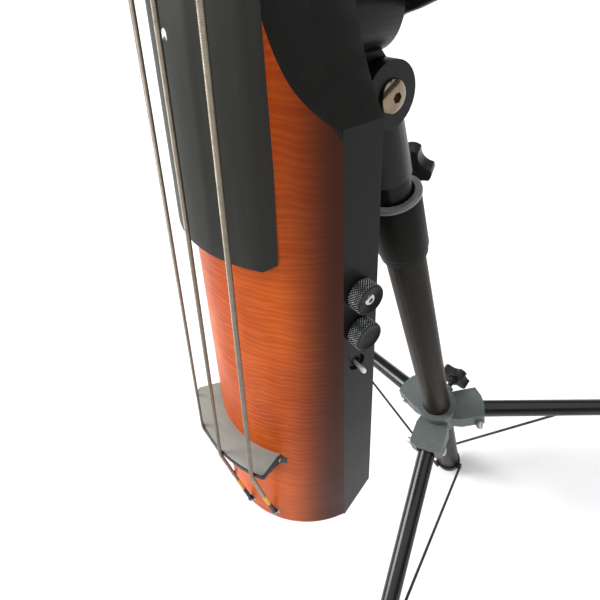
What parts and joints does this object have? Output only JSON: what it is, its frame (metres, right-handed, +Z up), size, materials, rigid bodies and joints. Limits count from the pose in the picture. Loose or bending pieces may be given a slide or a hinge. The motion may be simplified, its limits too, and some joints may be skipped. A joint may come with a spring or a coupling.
{
  "type": "electric upright double bass",
  "caption": "Slim electric upright bass with a flamed arched top, held by a tilting clamp on a folding tripod stand.",
  "frame": {"origin": "on the floor, in the middle of the part's box", "axes": "+Z up along the stand's column, +X to the side with the controls, +Y towards the back; the strings face -Y and the instrument leans back"},
  "size_m": [0.7831, 0.8526, 1.6038],
  "materials": {
    "flamed_maple": "satin amber sunburst over figured maple",
    "black_body": "satin black lacquer",
    "ebony": "fine-grained satin fingerboard",
    "bridge_grey": "matt dark grey",
    "bone": "polished black",
    "pearl_white": "white dots",
    "string_steel": "round-wound steel",
    "black_metal": "black powder coat",
    "gloss_black_metal": "gloss black enamel",
    "gunmetal": "black nickel",
    "bright_steel": "polished",
    "zinc": "zinc plate",
    "black_plastic": "fine-textured nylon",
    "hub_plastic": "fine-textured grey-green nylon",
    "ring_grey": "light grey ring",
    "foot_rubber": "matt",
    "circuit": "circuit board",
    "ceramic": "piezo ceramic"
  },
  "bodies": {
    "column": {"column_tube": "black_metal", "column_plug": "black_plastic", "column_collar": "black_plastic", "collar_ring": "ring_grey", "brace_spider": "black_metal"},
    "hub": {"hub": "hub_plastic", "leg_bolts": "zinc"},
    "hub_knob": {"hub_knob": "hub_plastic"},
    "leg_right": {"leg_right": "gloss_black_metal", "foot_right": "foot_rubber"},
    "leg_front": {"leg_front": "gloss_black_metal", "foot_front": "foot_rubber"},
    "leg_left": {"leg_left": "gloss_black_metal", "foot_left": "foot_rubber"},
    "brace_right": {"brace_right": "black_metal"},
    "brace_front": {"brace_front": "black_metal"},
    "brace_left": {"brace_left": "black_metal"},
    "collar_knob": {"collar_knob": "hub_plastic"},
    "mast": {"mast_tube": "black_metal"},
    "knuckle": {"knuckle_socket": "black_metal", "tilt_bolt": "bright_steel", "tilt_nut": "zinc"},
    "clamp": {"clamp_housing": "black_metal"},
    "instrument": {"body_core": "black_body", "body_top": "flamed_maple", "neck": "black_body", "fingerboard": "ebony", "position_dots": "pearl_white", "nut": "bone", "truss_rod": "zinc", "bridge": "bridge_grey", "piezo_elements": "ceramic", "string_e": "string_steel", "string_a": "string_steel", "string_d": "string_steel", "string_g": "string_steel", "string_ferrules": "zinc", "volume_pot": "zinc", "tone_pot": "zinc", "toggle_switch": "bright_steel", "output_jack": "bright_steel", "preamp_board": "circuit", "control_cover": "black_plastic", "cover_screws": "gunmetal", "mount_plate": "black_metal", "mount_screws": "zinc", "tuner_plates": "gunmetal"},
    "clamp_lever": {"clamp_lever": "black_plastic"},
    "volume_knob": {"volume_knob": "gunmetal"},
    "tone_knob": {"tone_knob": "gunmetal"},
    "toggle": {"toggle_lever": "bright_steel"},
    "tuner_key_e": {"tuner_key_e": "gunmetal"},
    "tuner_post_e": {"tuner_post_e": "gunmetal"},
    "tuner_key_a": {"tuner_key_a": "gunmetal"},
    "tuner_post_a": {"tuner_post_a": "gunmetal"},
    "tuner_key_d": {"tuner_key_d": "gunmetal"},
    "tuner_post_d": {"tuner_post_d": "gunmetal"},
    "tuner_key_g": {"tuner_key_g": "gunmetal"},
    "tuner_post_g": {"tuner_post_g": "gunmetal"}
  },
  "joints": [
    {"name": "tripod_fold", "type": "slide", "parent": "column", "child": "hub", "axis": [0, 0, 1], "range_m": [0, 0.26583]},
    {"name": "leg_right_fold", "type": "hinge", "parent": "hub", "child": "leg_right", "pos_m": [0.12437, 0.05955, 0.189], "axis": [-0.8121, 0.5835, 0], "range_deg": [0, 64.01]},
    {"name": "brace_right_fold", "type": "hinge", "parent": "column", "child": "brace_right", "pos_m": [0.08577, 0.03926, 0.022], "axis": [0.8121, -0.5835, 0], "range_deg": [0, 54.72]},
    {"name": "leg_front_fold", "type": "hinge", "parent": "hub", "child": "leg_front", "pos_m": [0.1168, -0.01628, 0.189], "axis": [0.9114, 0.4115, 0], "range_deg": [0, 64.01]},
    {"name": "brace_front_fold", "type": "hinge", "parent": "column", "child": "brace_front", "pos_m": [0.11852, 0.02729, 0.022], "axis": [-0.9114, -0.4115, 0], "range_deg": [0, 54.72]},
    {"name": "leg_left_fold", "type": "hinge", "parent": "hub", "child": "leg_left", "pos_m": [0.05491, 0.02819, 0.189], "axis": [-0.0993, -0.9951, 0], "range_deg": [0, 64.01]},
    {"name": "brace_left_fold", "type": "hinge", "parent": "column", "child": "brace_left", "pos_m": [0.09178, 0.00491, 0.022], "axis": [0.0993, 0.9951, 0], "range_deg": [0, 54.72]},
    {"name": "hub_knob_turn", "type": "hinge", "parent": "hub", "child": "hub_knob", "pos_m": [0.09869, 0.02382, 0.219], "axis": [-0.1908, 0.9816, 0], "range_deg": [0, 180]},
    {"name": "collar_knob_turn", "type": "hinge", "parent": "column", "child": "collar_knob", "pos_m": [0.09869, 0.02382, 0.5474], "axis": [-0.4695, 0.8829, 0], "range_deg": [0, 180]},
    {"name": "mast_slide", "type": "slide", "parent": "column", "child": "mast", "axis": [0, 0, 1], "range_m": [-0.012, 0.22]},
    {"name": "head_turn", "type": "hinge", "parent": "mast", "child": "knuckle", "pos_m": [0.09869, 0.02382, 0.631], "axis": [0, 0, 1], "continuous": true},
    {"name": "lean", "type": "hinge", "parent": "knuckle", "child": "clamp", "pos_m": [0.09869, 0.02382, 0.631], "axis": [-1, 0, 0], "range_deg": [-10, 25]},
    {"name": "side_swing", "type": "hinge", "parent": "clamp", "child": "instrument", "pos_m": [0.09869, 0.0136, 0.6783], "axis": [0, 0.9466, -0.3223], "range_deg": [-15, 15]},
    {"name": "lever_turn", "type": "hinge", "parent": "instrument", "child": "clamp_lever", "pos_m": [0.09869, 0.04484, 0.66767], "axis": [0, -0.9466, 0.3223], "range_deg": [-24, 104]},
    {"name": "volume_turn", "type": "hinge", "parent": "instrument", "child": "volume_knob", "pos_m": [0.16439, -0.06057, 0.58503], "axis": [1, 0, 0], "range_deg": [-150, 150]},
    {"name": "tone_turn", "type": "hinge", "parent": "instrument", "child": "tone_knob", "pos_m": [0.16462, -0.06862, 0.56136], "axis": [1, 0, 0], "range_deg": [-150, 150]},
    {"name": "toggle_flip", "type": "hinge", "parent": "instrument", "child": "toggle", "pos_m": [0.15546, -0.07704, 0.53665], "axis": [0, -0.9466, 0.3223], "range_deg": [0, 18]},
    {"name": "key_e_turn", "type": "hinge", "parent": "instrument", "child": "tuner_key_e", "pos_m": [0.11769, 0.31964, 1.47323], "axis": [1, 0, 0], "continuous": true},
    {"name": "post_e_turn", "type": "hinge", "parent": "instrument", "child": "tuner_post_e", "pos_m": [0.11769, 0.30564, 1.49972], "axis": [0, 0.8262, -0.5634], "continuous": true},
    {"name": "key_a_turn", "type": "hinge", "parent": "instrument", "child": "tuner_key_a", "pos_m": [0.11669, 0.35683, 1.52776], "axis": [1, 0, 0], "continuous": true},
    {"name": "post_a_turn", "type": "hinge", "parent": "instrument", "child": "tuner_post_a", "pos_m": [0.11669, 0.34282, 1.55425], "axis": [0, 0.8262, -0.5634], "continuous": true},
    {"name": "key_d_turn", "type": "hinge", "parent": "instrument", "child": "tuner_key_d", "pos_m": [0.08069, 0.35683, 1.52776], "axis": [-1, 0, 0], "continuous": true},
    {"name": "post_d_turn", "type": "hinge", "parent": "instrument", "child": "tuner_post_d", "pos_m": [0.08069, 0.34282, 1.55425], "axis": [0, 0.8262, -0.5634], "continuous": true},
    {"name": "key_g_turn", "type": "hinge", "parent": "instrument", "child": "tuner_key_g", "pos_m": [0.07969, 0.31964, 1.47323], "axis": [-1, 0, 0], "continuous": true},
    {"name": "post_g_turn", "type": "hinge", "parent": "instrument", "child": "tuner_post_g", "pos_m": [0.07969, 0.30564, 1.49972], "axis": [0, 0.8262, -0.5634], "continuous": true}
  ],
  "couplings": [
    {"joint": "leg_right_fold", "follows": "tripod_fold", "rad_per_m": 4.202},
    {"joint": "brace_right_fold", "follows": "tripod_fold", "rad_per_m": 3.5922},
    {"joint": "leg_front_fold", "follows": "tripod_fold", "rad_per_m": 4.202},
    {"joint": "brace_front_fold", "follows": "tripod_fold", "rad_per_m": 3.5922},
    {"joint": "leg_left_fold", "follows": "tripod_fold", "rad_per_m": 4.202},
    {"joint": "brace_left_fold", "follows": "tripod_fold", "rad_per_m": 3.5922},
    {"joint": "post_e_turn", "follows": "key_e_turn", "ratio": 0.05},
    {"joint": "post_a_turn", "follows": "key_a_turn", "ratio": 0.05},
    {"joint": "post_d_turn", "follows": "key_d_turn", "ratio": -0.05},
    {"joint": "post_g_turn", "follows": "key_g_turn", "ratio": -0.05}
  ]
}
